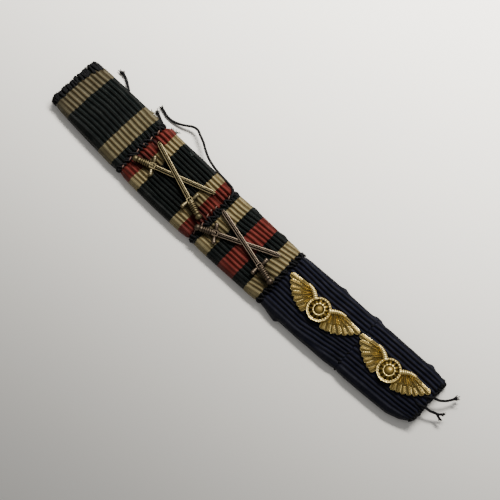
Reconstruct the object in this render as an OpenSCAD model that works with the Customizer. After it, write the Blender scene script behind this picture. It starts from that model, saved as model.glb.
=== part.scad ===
// Five-ribbon bar: ribbed ribbons wrapped round a backing strip, with two
// crossed-swords devices and two winged devices. Lies on its back on z = 0,
// +X along the bar, +Y towards the edge that is up when worn, +Z out of the front.

/* [Bar] */
// Width of one ribbon along the bar
ribbon_w = 25; // [22:0.5:30]
// Height of the bar at its fullest part
bar_height = 18; // [16:0.5:22]
// How far the middle of the bar sags below its ends
bar_bow = 1.4; // [0:0.1:2.5]

/* [Cloth] */
// Thickness of the ribbon in its grooves
cloth_wall = 1; // [1:0.1:1.5]
// Height of the ribs above their grooves
rib_rise = 0.25; // [0.1:0.05:0.4]
// Number of ribs across the face
rib_count = 12; // [8:1:16]
// Slit between one ribbon and the next
seam_gap = 0.2; // [0.1:0.05:0.5]
// How far the middle of each ribbon stands above its sewn ends
ribbon_crown = 0.25; // [0:0.05:0.5]
// How far each edge is drawn in where a ribbon is sewn down
seam_nick = 0.3; // [0:0.05:0.5]
// Width of the flap turned under along each long edge
flap_w = 5.9; // [4:0.1:6.4]
// How far the turned-out corner of the fourth ribbon sticks out
corner_reach = 1.5; // [0.5:0.1:2.5]

/* [Backing] */
// Thickness of the backing strip
backing_t = 1.2; // [1:0.1:2]
// Clearance between the backing strip and the ribbons
backing_gap = 0.1; // [0.05:0.05:0.2]

/* [Swords] */
// Length of one sword from tip to pommel
sword_len = 23.6; // [20:0.2:25]
// Length of the grip and pommel behind the guard
hilt_len = 5.75; // [5.5:0.25:8]
// Width of the blade
blade_w = 1.4; // [1:0.1:2]
// Thickness of the blade at its ridge
blade_t = 0.8; // [0.6:0.1:1.2]
// Diameter of the wire-wound grip
grip_d = 1.5; // [1.2:0.1:1.7]
// Diameter of the pommel
pommel_d = 1.8; // [1.8:0.1:2.4]
// Length of the crossguard over its knobs
guard_len = 5.8; // [4.4:0.2:6.4]
// Diameter of the crossguard's arms
guard_d = 0.8; // [0.6:0.1:1]
// Angle of each sword to the bar
sword_tilt = 19; // [12:1:24]
// Height of the upper sword above the lower one
sword_lift = 0.4; // [0.3:0.05:0.55]

/* [Wings] */
// Span from wing tip to wing tip
wing_span = 23.8; // [20:0.2:24.6]
// Gap between the two devices' wing tips
wing_gap = 0.3; // [0.2:0.1:1]
// Diameter of the round boss between the wings
boss_d = 6.6; // [5:0.1:7]
// Thickness of the winged device's plate
plate_t = 0.5; // [0.4:0.1:0.8]
// Rise of each layer of feathers above the one under it
feather_step = 0.2; // [0.1:0.05:0.3]
// Width of one long feather
feather_w = 1.5; // [1.2:0.1:2]
// Number of long feathers on each wing
feather_count = 7; // [5:1:9]

/* [Hidden] */

$fn = 32;
// Clearance under each metal device
device_gap = 0.05;

black = "#1e2423";
red = "#a2342b";
navy = "#171a2c";
brass = "#a8986c";
bronze = "#7d6a5c";
gilt = "#d9b45a";

// One row for each ribbon: width as a share of ribbon_w, ground colour
ribbons = [[0.98, black], [1.02, red], [0.97, black], [1.05, navy], [0.98, navy]];

// Outline of the bar: place as a share of its length, height as a share of bar_height
outline = [[0, 0.87], [0.025, 0.92], [0.1, 0.95], [0.2, 0.98], [0.3, 1], [0.4, 0.99],
    [0.6, 0.965], [0.7, 0.985], [0.8, 0.965], [0.9, 0.95], [0.975, 0.92], [1, 0.86]];

// How full a ribbon stands between its seams: place as a share of its width, fullness
fullness = [[0, 0], [0.05, 0.55], [0.14, 1], [0.33, 1], [0.66, 1], [0.86, 1], [0.95, 0.55], [1, 0]];

// The turned-out corner: place as a share of its ribbon's width, share of corner_reach
corner_ribbon = 3;
corner = [[0.08, 0], [0.235, 1], [0.27, 0]];

// Where each pair of swords crosses: ribbon, share of its width, share of bar_height
// above the middle line, turn in degrees, share of sword_len
// that the lower sword is slid towards its pommel
swords_a_place = [1, 0.47, 0.035, 1, -0.02];
swords_b_place = [2, 0.47, -0.006, 5, 0.026];

// The two winged devices meet near the seam after this ribbon, shifted by a share of ribbon_w
wings_seam = 3;
wings_shift = -0.04;

// The bar's middle line is a shallow curve, and every section stands square to it
function total(list, count, i = 0) = i >= count ? 0 : list[i][0] + total(list, count, i + 1);
function ribbon_from(i) = total(ribbons, i) * ribbon_w;
function ribbon_wide(i) = ribbons[i][0] * ribbon_w;
bar_length = total(ribbons, len(ribbons)) * ribbon_w;
function bow_y(x) = -bar_bow * (1 - pow(2 * x / bar_length - 1, 2));
function bow_angle(x) = atan(4 * bar_bow / bar_length * (2 * x / bar_length - 1));
function on_bar(x, y, z) =
    [x - y * sin(bow_angle(x)), bow_y(x) + y * cos(bow_angle(x)), z];

// Cloth sizes that follow from the wall and the backing strip
roll_r = cloth_wall + backing_gap + backing_t / 2;
inner_r = roll_r - cloth_wall;
face_z = 2 * roll_r + rib_rise + ribbon_crown;

// Stations along one ribbon, and the edge, fullness and corner there
function places(i) = i == corner_ribbon ? concat([for (row = fullness) if (row[0] < 0.3) row[0]],
    [for (row = corner) row[0]], [for (row = fullness) if (row[0] > 0.3) row[0]])
    : [for (row = fullness) row[0]];
function sorted(list) = len(list) < 2 ? list : let (pivot = list[0]) concat(
    sorted([for (v = list) if (v < pivot) v]), [pivot], sorted([for (v = list) if (v > pivot) v]));
function station_x(i, place) =
    ribbon_from(i) + seam_gap / 2 + place * (ribbon_wide(i) - seam_gap);
function half_height(x, place) =
    lookup(x / bar_length, outline) * bar_height / 2 - seam_nick * (1 - lookup(place, fullness));
function corner_at(i, place) = i == corner_ribbon ? lookup(place, corner) : 0;

// The bar's own box, which the model is centred in
rim = [for (i = [0:len(ribbons) - 1], place = places(i), side = [-1, 1])
    let (x = station_x(i, place), out = side < 0 ? corner_reach * corner_at(i, place) : 0)
    on_bar(x, side * (half_height(x, place) + out), 0)];
middle = [for (axis = [0, 1])
    (min([for (p = rim) p[axis]]) + max([for (p = rim) p[axis]])) / 2];

module centred() {
    translate([-middle[0], -middle[1], 0]) children();
}

// Closed section of the cloth wall, seen from +X: flap, roll, ribbed face, roll, flap
function arc(centre_y, centre_z, r, from, to, steps) = [for (k = [0:steps])
    let (a = from + (to - from) * k / steps) [centre_y + r * cos(a), centre_z + r * sin(a)]];
function ribs(half, z) = [for (k = [0:rib_count - 1], part = [0.25, 0.75, 1])
    if (k < rib_count - 1 || part < 1)
    [half - 2 * half * (k + part) / rib_count, z + (part < 1 ? rib_rise : 0)]];
function turned_out(points, reach) = [for (k = [0:len(points) - 1])
    k == 1 || k == 2 ? points[k] - [reach, 0] : points[k]];
function wall_section(edge, lift, turned) = let (
    y = edge - roll_r,
    flap_y = edge - flap_w,
    reach = turned * (corner_reach + roll_r * (1 - cos(30))))
    concat(
        [[flap_y, 0]],
        arc(y, roll_r, roll_r, -90, 0, 3),
        arc(y, roll_r + lift, roll_r, 30, 90, 2),
        ribs(y, 2 * roll_r + lift),
        arc(-y, roll_r + lift, roll_r, 90, 150, 2),
        turned_out(arc(-y, roll_r, roll_r, 180, 270, 3), reach),
        [[-flap_y, 0], [-flap_y, cloth_wall]],
        arc(-y, roll_r, inner_r, 270, 180, 2),
        arc(-y, roll_r + lift, inner_r, 135, 90, 1),
        arc(y, roll_r + lift, inner_r, 90, 45, 1),
        arc(y, roll_r, inner_r, 0, -90, 2),
        [[flap_y, cloth_wall]]);

// One ribbon's wall, lofted through its stations
module ribbon(i) {
    at = sorted(places(i));
    xs = [for (place = at) station_x(i, place)];
    sections = [for (k = [0:len(xs) - 1]) wall_section(half_height(xs[k], at[k]),
        ribbon_crown * lookup(at[k], fullness), corner_at(i, at[k]))];
    n = len(sections[0]);
    last = (len(xs) - 1) * n;
    points = [for (k = [0:len(xs) - 1], p = sections[k]) on_bar(xs[k], p[0], p[1])];
    sides = [for (k = [0:len(xs) - 2], j = [0:n - 1], half = [0, 1])
        let (a = k * n + j, b = k * n + (j + 1) % n)
        half == 0 ? [a, a + n, b + n] : [a, b + n, b]];
    near_cap = [for (j = [0:n - 1]) j];
    far_cap = [for (j = [n - 1:-1:0]) last + j];
    color(ribbons[i][1])
    centred()
    polyhedron(points, concat(sides, [near_cap, far_cap]), convexity = 6);
}

module ribbon_1() { ribbon(0); }
module ribbon_2() { ribbon(1); }
module ribbon_3() { ribbon(2); }
module ribbon_4() { ribbon(3); }
module ribbon_5() { ribbon(4); }

// The strip that the ribbons are wrapped round
module backing_strip() {
    seats = [for (i = [0:len(ribbons) - 1], row = fullness) let (x = station_x(i, row[0]))
        [x, half_height(x, 0) - roll_r]];
    lower = [for (s = seats) on_bar(s[0], -s[1], 0)];
    upper = [for (k = [len(seats) - 1:-1:0]) on_bar(seats[k][0], seats[k][1], 0)];
    color(black)
    centred()
    translate([0, 0, cloth_wall + backing_gap])
    linear_extrude(backing_t)
    polygon([for (p = concat(lower, upper)) [p[0], p[1]]]);
}

// Puts a device on the front of the bar
module on_front(x, up, turn) {
    centred()
    translate(on_bar(x, up, face_z + device_gap))
    rotate(bow_angle(x) + turn)
    children();
}

// One sword along +X with its tip at zero and its flat back on z = 0
blade_len = sword_len - hilt_len;
module blade() {
    shoulder = 0.45 * blade_t;
    tip_len = 1.8 * blade_w;
    intersection() {
        rotate([90, 0, 90])
        linear_extrude(blade_len)
        polygon([[-blade_w / 2, 0], [blade_w / 2, 0], [blade_w / 2, shoulder],
            [0, blade_t], [-blade_w / 2, shoulder]]);
        linear_extrude(blade_t + 1)
        polygon([[0, 0], [tip_len, -blade_w], [blade_len + 1, -blade_w],
            [blade_len + 1, blade_w], [tip_len, blade_w]]);
    }
}

// The hilt's axis lies low, so that its back can be flat
module hilt() {
    windings = 6;
    grip_r = grip_d / 2;
    grip_len = hilt_len - pommel_d;
    groove = 0.12;
    pitch = grip_len / windings;
    pommel_z = hilt_len - pommel_d / 2;
    translate([blade_len, 0, 0.3 * grip_d])
    rotate([0, 90, 0])
    union() {
        rotate_extrude()
        polygon(concat([[0, -0.3]], [[grip_r, -0.3]],
            [for (k = [0:windings - 1], part = [0.5, 1])
                [grip_r - (part < 1 ? groove : 0), pitch * (k + part)]],
            [[grip_r, pommel_z], [0, pommel_z]]));
        translate([0, 0, pommel_z])
        sphere(d = pommel_d);
    }
}

// The crossguard: a square block and two arms that curl opposite ways to their knobs
module guard() {
    knob_d = 1.5 * guard_d;
    block = 1.25 * blade_w;
    reach = (guard_len - knob_d) / 2;
    curl = 20;
    curl_r = reach / sin(curl);
    translate([blade_len, 0, guard_d / 2]) {
        cube([block, block, 1.5 * guard_d], center = true);
        for (side = [0, 180])
            rotate(side)
            translate([-curl_r, 0, 0]) {
                rotate_extrude(angle = curl)
                translate([curl_r, 0])
                circle(d = guard_d);
                rotate(curl)
                translate([curl_r, 0, 0])
                sphere(d = knob_d);
            }
    }
}

module sword() {
    intersection() {
        union() {
            blade();
            hilt();
            guard();
        }
        translate([-1, -guard_len, 0])
        cube([sword_len + 2, 2 * guard_len, 3 * pommel_d]);
    }
}

// Two swords struck as one piece, crossing nearer their tips; the lower one is slid along its length
module crossed_swords(slide) {
    cross_at = 0.446 * sword_len;
    rotate(180 + sword_tilt)
    translate([slide * sword_len - cross_at, 0, 0])
    sword();
    translate([0, 0, sword_lift])
    rotate(-sword_tilt)
    translate([-cross_at, 0, 0])
    sword();
}

module placed_swords(spot) {
    on_front(ribbon_from(spot[0]) + spot[1] * ribbon_wide(spot[0]), spot[2] * bar_height, spot[3])
    crossed_swords(spot[4]);
}
module swords_a() { color(brass) placed_swords(swords_a_place); }
module swords_b() { color(bronze) placed_swords(swords_b_place); }

// A feather along +X with a round tip, drawn flat
module feather(length, wide, high) {
    linear_extrude(high)
    polygon(concat([[-wide / 4, wide / 4], [-wide / 4, -wide / 4]],
        [for (k = [0:6]) let (a = -90 + 30 * k)
            [length - wide / 2 + wide / 2 * cos(a), wide / 2 * sin(a)]]));
}

// One row of feathers fanned along the wing's arm, from the tip inwards
// long: the longest feather as a share of half the span, short: the shortest one's share of it
arm_share = 0.51;
module feather_row(count, long, short, layer) {
    arm_out = [(1 - arm_share) * wing_span / 2, 0.42 * boss_d];
    arm_in = [0.38 * boss_d, 0.12 * boss_d];
    for (k = [0:count - 1]) {
        inwards = k / (count - 1);
        spot = arm_out + (arm_in - arm_out) * inwards;
        translate([spot[0], spot[1], 0])
        rotate(-4 - 68 * inwards)
        feather(long * wing_span / 2 * (1 - (1 - short) * inwards), feather_w,
            plate_t + feather_step * (layer + k % 2));
    }
}

module wing() {
    feather_row(feather_count, arm_share, 0.7, 0);
    feather_row(feather_count - 1, 0.48 * arm_share, 0.75, 2);
}

module boss() {
    rim_w = 0.1 * boss_d;
    top = plate_t + 4 * feather_step;
    difference() {
        cylinder(d = boss_d, h = top);
        translate([0, 0, top - feather_step])
        difference() {
            cylinder(d = boss_d - 2 * rim_w, h = 1);
            cylinder(d = 0.45 * boss_d, h = 2);
        }
    }
}

module winged_device() {
    wing();
    mirror([1, 0, 0]) wing();
    boss();
}

module placed_wings(side) {
    meet_x = ribbon_from(wings_seam + 1) + wings_shift * ribbon_w;
    on_front(meet_x + side * (wing_span + wing_gap) / 2, 0, 0)
    winged_device();
}
module wings_a() { color(gilt) placed_wings(-1); }
module wings_b() { color(gilt) placed_wings(1); }

backing_strip();
ribbon_1();
ribbon_2();
ribbon_3();
ribbon_4();
ribbon_5();
swords_a();
swords_b();
wings_a();
wings_b();
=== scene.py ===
import math

import bmesh
import bpy
import numpy as np
from mathutils import Matrix, Vector


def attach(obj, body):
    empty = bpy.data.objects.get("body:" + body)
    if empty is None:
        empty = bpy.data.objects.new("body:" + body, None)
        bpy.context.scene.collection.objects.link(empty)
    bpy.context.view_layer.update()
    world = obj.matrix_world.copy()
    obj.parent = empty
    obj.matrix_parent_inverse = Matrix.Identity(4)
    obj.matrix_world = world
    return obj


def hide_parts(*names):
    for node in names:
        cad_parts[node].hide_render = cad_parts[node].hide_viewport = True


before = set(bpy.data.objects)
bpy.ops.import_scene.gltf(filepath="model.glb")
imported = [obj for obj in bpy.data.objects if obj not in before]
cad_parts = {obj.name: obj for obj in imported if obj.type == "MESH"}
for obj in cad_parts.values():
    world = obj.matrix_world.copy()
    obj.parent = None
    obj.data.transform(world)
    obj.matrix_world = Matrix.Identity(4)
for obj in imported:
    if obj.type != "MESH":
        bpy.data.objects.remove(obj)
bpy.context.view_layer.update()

# Lengths in the dictionaries are in millimetres and angles in degrees
mm = 0.001

# The bar as the solids have it: widths are shares of ribbonWide, and the tables run over the bar or a ribbon
bar = dict(ribbonWide=25, widths=[0.98, 1.02, 0.97, 1.05, 0.98], height=18, bow=1.4, wall=1, backing=1.2,
           backingGap=0.1, seamGap=0.2, crown=0.25, nick=0.3, flap=5.9, ribRise=0.25, deviceGap=0.05,
           outline=[(0, 0.87), (0.025, 0.92), (0.1, 0.95), (0.2, 0.98), (0.3, 1), (0.4, 0.99),
                    (0.6, 0.965), (0.7, 0.985), (0.8, 0.965), (0.9, 0.95), (0.975, 0.92), (1, 0.86)],
           fullness=[(0, 0), (0.05, 0.55), (0.14, 1), (0.86, 1), (0.95, 0.55), (1, 0)],
           corner=[(0.08, 0), (0.235, 1), (0.27, 0)], cornerRibbon=3, cornerReach=1.5)

ribbonWides = [share * bar["ribbonWide"] for share in bar["widths"]]
seamX = [sum(bar["widths"][:i]) * bar["ribbonWide"] for i in range(6)]
barLength = seamX[5]
rollRadius = bar["wall"] + bar["backingGap"] + bar["backing"] / 2
rollLength = math.pi * rollRadius
faceHeight = 2 * rollRadius + bar["ribRise"] + bar["crown"]


def fromTable(rows, at):
    return np.interp(at, *zip(*rows))


# How far a value has come on its way from start, which is over long: 0 to 1
def shareOf(value, start, over):
    return np.clip((value - start) / over, 0, 1)


def bowAngle(x):
    return np.arctan(4 * bar["bow"] / barLength * (2 * x / barLength - 1))


def onBarLine(x, y):
    angle = bowAngle(x)
    bowY = -bar["bow"] * (1 - (2 * x / barLength - 1) ** 2)
    return np.stack([x - y * np.sin(angle), bowY + y * np.cos(angle)], -1)


def stationX(i, place):
    return seamX[i] + bar["seamGap"] / 2 + place * (ribbonWides[i] - bar["seamGap"])


def halfHeight(x, place):
    nick = bar["nick"] * (1 - fromTable(bar["fullness"], place))
    return fromTable(bar["outline"], x / barLength) * bar["height"] / 2 - nick


# Middle of the bar's own box, which is the origin of the frame
def barMiddle():
    rim = []
    places = np.array(sorted(row[0] for row in bar["fullness"] + bar["corner"]))
    for i in range(5):
        x = stationX(i, places)
        out = bar["cornerReach"] * fromTable(bar["corner"], places) * (i == bar["cornerRibbon"])
        rim += [onBarLine(x, halfHeight(x, places)), onBarLine(x, -halfHeight(x, places) - out)]
    rim = np.concatenate(rim)
    return (rim.min(0) + rim.max(0)) / 2


middle = barMiddle()


# Metres in the frame, from x along the bar, y across it and z, all in millimetres
def onBar(x, y, z):
    x, y, z = np.broadcast_arrays(*[np.asarray(value, float) for value in (x, y, z)])
    return np.concatenate([onBarLine(x, y) - middle, z[..., None]], -1) * mm


# Place and outward direction on the cloth's section: s runs from the middle of the face over the rolls
def sectionPoint(edge, lift, s):
    side = np.where(s < 0, -1.0, 1.0)
    away = np.abs(s)
    rollY = edge - rollRadius
    angle = np.clip(math.pi / 2 - (away - rollY) / rollRadius, -math.pi / 2, math.pi / 2)
    under = np.clip(away - rollY - rollLength, 0, None)
    y = np.minimum(away, rollY) + rollRadius * np.cos(angle) - under
    z = rollRadius * (1 + np.sin(angle)) + lift * (angle / math.pi + 0.5)
    return side * y, z, side * np.cos(angle), np.sin(angle)


# How the sewing pulls the cloth: the first ribbon reaches out over its end and drifts along its top, and the
# last one is tucked in, with its lower corner lifted; under the bar, from underFrom on, the tuck eases off
pulls = dict(reach=1.2, lean=0.1, driftTo=8, raised=0.3, tuck=0.4, cornerTuck=0.9, cornerLift=1.6,
             tuckOver=0.3, edgeAt=9, underFrom=8.5, underOver=3.5, underEase=0.9,
             drift=[(0, 0.2), (0.06, 0.95), (0.22, 0.5), (0.5, 0.35), (0.9, 0.35), (1, 0)])


def pullCloth(x, s):
    x = np.asarray(x, float)
    under = shareOf(np.abs(s), pulls["underFrom"], pulls["underOver"])
    up = np.clip(s / pulls["edgeAt"], -1, 1)
    low = np.clip(-up, 0, 1)
    first = shareOf(x, 0, seamX[1])
    last = shareOf(x, seamX[4], barLength - seamX[4])
    near = np.clip((last - 1 + pulls["tuckOver"]) / pulls["tuckOver"], 0, 1)
    alongX = -pulls["reach"] * (1 - first) ** 3 * (1 - pulls["lean"] * up)
    alongX = alongX + fromTable(pulls["drift"], first) * np.clip(s / pulls["driftTo"], 0, 1) ** 1.5
    tuck = pulls["tuck"] + pulls["cornerTuck"] * low ** 3 * (1 - pulls["underEase"] * under)
    alongY = (near * pulls["cornerLift"] + pulls["raised"] * (1 - first)) * low ** 2
    return alongX - near ** 1.5 * tuck, alongY


# Metres in the frame of a point on the cloth, from x along the bar, s over the section and h above it
def onCloth(x, s, h):
    x, s = np.asarray(x, float), np.asarray(s, float)
    starts = np.array(seamX)
    i = np.clip(np.searchsorted(starts, x, side="right") - 1, 0, 4)
    place = shareOf(x, starts[i], starts[i + 1] - starts[i])
    y, z, outY, outZ = sectionPoint(halfHeight(x, place), bar["crown"] * fromTable(bar["fullness"], place), s)
    pullX, pullY = pullCloth(x, s)
    return onBar(x + pullX, y + pullY + outY * h, z + outZ * h)


# Linear colour from one that is written as it shows on a screen, 0 to 255
def tone(*levels):
    return [c / 3294.6 if c <= 10 else ((c / 255 + 0.055) / 1.055) ** 2.4 for c in levels] + [1]


def wireUp(tree, inputs, wires):
    for name, value in wires.items():
        value = getattr(value, "socket", value)
        if isinstance(value, bpy.types.NodeSocket):
            tree.links.new(value, inputs[name])
        else:
            inputs[name].default_value = value


# Settings are the node's own properties, wires are its inputs by name or place
def addNode(tree, kind, wires=None, **settings):
    node = tree.nodes.new(kind)
    for name, value in settings.items():
        setattr(node, name, value)
    wireUp(tree, node.inputs, wires or {})
    return node


def newValue(tree, kind, wires=None, output=0, **settings):
    return Value(tree, addNode(tree, kind, wires, **settings).outputs[output])


def valuesOf(tree, sockets):
    return {socket.name: Value(tree, socket) for socket in sockets if socket.name}


# An output in a node tree, so that sums with it read as they do with numbers
class Value:
    def __init__(self, tree, socket):
        self.tree, self.socket = tree, socket

    def calc(self, operation, *others, clamp=False):
        wires = dict(enumerate((self, *others)))
        return newValue(self.tree, "ShaderNodeMath", wires, operation=operation, use_clamp=clamp)

    def __add__(self, other):
        return self.calc("ADD", other)

    def __sub__(self, other):
        return self.calc("SUBTRACT", other)

    def __rsub__(self, other):
        return self.calc("MULTIPLY_ADD", -1.0, other)

    def __mul__(self, other):
        return self.calc("MULTIPLY", other)

    def __truediv__(self, other):
        return self.calc("DIVIDE", other)

    def ridged(self):
        return (self * math.pi).calc("SINE").calc("ABSOLUTE")

    def scaled(self, size):
        return newValue(self.tree, "ShaderNodeVectorMath", {0: self, "Scale": size}, operation="SCALE")

    def mapped(self, low, high, toLow=0.0, toHigh=1.0):
        wires = {"Value": self, "From Min": low, "From Max": high, "To Min": toLow, "To Max": toHigh}
        return newValue(self.tree, "ShaderNodeMapRange", wires)


def addNoise(tree, place, scale, detail=2.0, seed=None):
    wires = {"Vector": place, "Scale": scale, "Detail": detail}
    if seed is None:
        return newValue(tree, "ShaderNodeTexNoise", wires)
    return newValue(tree, "ShaderNodeTexNoise", {**wires, "W": seed}, noise_dimensions="4D")


def mixColors(tree, share, first, second, blend="MIX"):
    return newValue(tree, "ShaderNodeMix", {"Factor": share, 6: first, 7: second}, 2, data_type="RGBA",
                    blend_type=blend)


def addBump(tree, height, distance, strength=1.0):
    return newValue(tree, "ShaderNodeBump", {"Height": height, "Distance": distance, "Strength": strength})


def readMark(tree, name, output="Fac"):
    return newValue(tree, "ShaderNodeAttribute", None, output, attribute_name=name)


# A tree with named sockets: text is a socket's kind, a number or colour is its value
def newTree(name, kind, inputs, outputs):
    tree = bpy.data.node_groups.new(name, kind)
    kinds = {float: "Float", int: "Int", tuple: "Color"}
    for direction, sockets in (("INPUT", inputs), ("OUTPUT", outputs)):
        for label, value in sockets.items():
            socketKind = "NodeSocket" + kinds.get(type(value), value)
            socket = tree.interface.new_socket(label, in_out=direction, socket_type=socketKind)
            if not isinstance(value, str):
                socket.default_value = value
    start = valuesOf(tree, tree.nodes.new("NodeGroupInput").outputs)
    return tree, start, tree.nodes.new("NodeGroupOutput").inputs


def newGeometryTree(name, inputs):
    inputs = {"Geometry": "Geometry", **inputs, "Seed": 1, "Material": "Material"}
    return newTree(name, "GeometryNodeTree", inputs, {"Geometry": "Geometry"})


def finishTree(tree, geometry, start, end, smooth=True):
    if smooth:
        geometry = newValue(tree, "GeometryNodeSetShadeSmooth", {"Geometry": geometry})
    geometry = newValue(tree, "GeometryNodeRealizeInstances", {"Geometry": geometry})
    wires = {"Geometry": geometry, "Material": start["Material"]}
    wireUp(tree, end, {"Geometry": newValue(tree, "GeometryNodeSetMaterial", wires)})
    return tree


def readNamed(tree, name, kind="FLOAT"):
    return newValue(tree, "GeometryNodeInputNamedAttribute", {"Name": name}, data_type=kind)


def addObject(name, data):
    piece = bpy.data.objects.new(name, data)
    bpy.context.scene.collection.objects.link(piece)
    return piece


# Runs a Geometry Nodes tree on a mesh and leaves a plain mesh object
def applyTree(name, mesh, tree, values):
    piece = addObject(name, mesh)
    modifier = piece.modifiers.new(tree.name, "NODES")
    modifier.node_group = tree
    for item in tree.interface.items_tree:
        if item.in_out == "INPUT" and item.name in values:
            modifier[item.identifier] = values[item.name]
    bpy.context.view_layer.update()
    depsgraph = bpy.context.evaluated_depsgraph_get()
    result = bpy.data.meshes.new_from_object(piece.evaluated_get(depsgraph), depsgraph=depsgraph)
    piece.modifiers.remove(modifier)
    piece.data = result
    return piece


def newMesh(name, points, faces, edges=()):
    mesh = bpy.data.meshes.new(name)
    mesh.from_pydata(np.asarray(points, float).tolist(), list(edges), faces)
    mesh.update()
    return mesh


def storeValues(mesh, name, values):
    values = np.asarray(values, np.float32)
    kind, field = ("FLOAT_VECTOR", "vector") if values.ndim == 2 else ("FLOAT", "value")
    mesh.attributes.new(name, kind, "POINT").data.foreach_set(field, values.ravel())


def readPoints(mesh, field="co"):
    points = np.zeros(len(mesh.vertices) * 3)
    mesh.vertices.foreach_get(field, points)
    return points.reshape(-1, 3)


def newPiece(name, mesh, material=None, smooth=True):
    if material:
        mesh.materials.append(material)
    mesh.polygons.foreach_set("use_smooth", [smooth] * len(mesh.polygons))
    return addObject(name, mesh)


# Merges doubles and turns every face outwards
def closeMesh(mesh, reach=0.002 * mm):
    work = bmesh.new()
    work.from_mesh(mesh)
    bmesh.ops.remove_doubles(work, verts=work.verts, dist=reach)
    bmesh.ops.recalc_face_normals(work, faces=work.faces)
    work.to_mesh(mesh)
    work.free()
    mesh.update()
    return mesh


def newSolid(name, points, faces, material=None, reach=0.002 * mm):
    return newPiece(name, closeMesh(newMesh(name, points, faces), reach), material)


def ringFaces(count, around):
    faces = []
    for k in range(count - 1):
        for j in range(around):
            a, b = k * around + j, k * around + (j + 1) % around
            faces.append((a, b, b + around, a + around))
    return faces


def turnOver(faces):
    return [(face[0], *face[:0:-1]) for face in faces]


# Skin over rings of points, an array of ring, point, xyz; its ends are closed
def loftRings(rings):
    rings = np.asarray(rings, float)
    count, around = rings.shape[:2]
    ends = [tuple(range(around))[::-1], tuple(range((count - 1) * around, count * around))]
    return rings.reshape(-1, 3), ringFaces(count, around) + ends


def joinParts(parts):
    points, faces, count = [], [], 0
    for partPoints, partFaces in parts:
        points.append(partPoints)
        faces += [tuple(v + count for v in face) for face in partFaces]
        count += len(partPoints)
    return np.concatenate(points), faces


def turnZ(points, degrees):
    c, s = math.cos(math.radians(degrees)), math.sin(math.radians(degrees))
    return points @ np.array([[c, s, 0], [-s, c, 0], [0, 0, 1]])


def circle(steps):
    return np.linspace(0, 2 * math.pi, steps, endpoint=False)


# How hollow the surface is at each vertex, from -1 on an edge to 1 in a groove
def markHollows(mesh, passes=2, strength=3):
    count = len(mesh.vertices)
    points, normals = readPoints(mesh), readPoints(mesh, "normal")
    ends = np.zeros(len(mesh.edges) * 2, int)
    mesh.edges.foreach_get("vertices", ends)
    ends = ends.reshape(-1, 2)
    first, second = np.concatenate([ends, ends[:, ::-1]]).T
    along = points[second] - points[first]
    along /= np.maximum(np.linalg.norm(along, axis=1, keepdims=True), 1e-12)
    near = np.maximum(np.bincount(first, minlength=count), 1)
    hollow = np.bincount(first, (along * normals[first]).sum(1), minlength=count) / near
    for _ in range(passes):
        hollow = 0.5 * hollow + 0.5 * np.bincount(first, hollow[second], minlength=count) / near
    storeValues(mesh, "hollow", np.clip(hollow * strength, -1, 1))


# Camera, fitted to the photograph's frame
camera = dict(elevation=76, distance=2000, turn=43.34, target=(0.419, 0.744, 0), halfView=1.8487, sensor=36,
              clip=(0.01, 10))


def addCamera():
    turn, elevation = math.radians(camera["turn"]), math.radians(camera["elevation"])
    flat = math.cos(elevation)
    right = Vector((math.cos(turn), math.sin(turn), 0))
    ahead = Vector((-math.sin(turn) * flat, math.cos(turn) * flat, -math.sin(elevation)))
    data = bpy.data.cameras.new("camera")
    data.sensor_width = camera["sensor"]
    data.lens = camera["sensor"] / 2 / math.tan(math.radians(camera["halfView"]))
    data.clip_start, data.clip_end = camera["clip"]
    place = (Vector(camera["target"]) - ahead * camera["distance"]) * mm
    axes = Matrix((right, right.cross(ahead), -ahead)).transposed().to_4x4()
    bpy.context.scene.camera = addObject("camera", data)
    bpy.context.scene.camera.matrix_world = Matrix.Translation(place) @ axes


# Window light in millimetres and watts, and the even light of the room
lights = dict(place=(-74, 233, 291), aim=(-55, 143, 0), size=(348, 100), power=1.66, spread=61,
              color=(1, 0.982, 0.95), sky=0.37, skyColor=(0.96, 0.97, 1, 1))


def addLights():
    data = bpy.data.lights.new("key", "AREA")
    data.shape = "RECTANGLE"
    data.size, data.size_y = [side * mm for side in lights["size"]]
    data.energy, data.color, data.spread = lights["power"], lights["color"], math.radians(lights["spread"])
    window = addObject("key", data)
    window.location = Vector(lights["place"]) * mm
    ahead = Vector(lights["aim"]) * mm - window.location
    window.rotation_euler = ahead.to_track_quat("-Z", "Y").to_euler()
    world = bpy.data.worlds.new("studio")
    world.use_nodes = True
    sky = world.node_tree.nodes["Background"].inputs
    wireUp(world.node_tree, sky, {"Color": lights["skyColor"], "Strength": lights["sky"]})
    bpy.context.scene.world = world


def newMaterial(name):
    material = bpy.data.materials.new(name)
    material.use_nodes = True
    return material, material.node_tree, material.node_tree.nodes["Principled BSDF"].inputs


floor = dict(color=(0.835, 0.807, 0.742, 1), half=1500)


def addFloor():
    material, tree, shader = newMaterial("paleFloor")
    wireUp(tree, shader, {"Base Color": floor["color"], "Roughness": 0.85, "Specular IOR Level": 0.2})
    corners = np.array([(-1, -1, 0), (1, -1, 0), (1, 1, 0), (-1, 1, 0)])
    mesh = newMesh("floor", corners * floor["half"] * mm, [(0, 1, 2, 3)])
    newPiece("floor", mesh, material, smooth=False)


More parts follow.
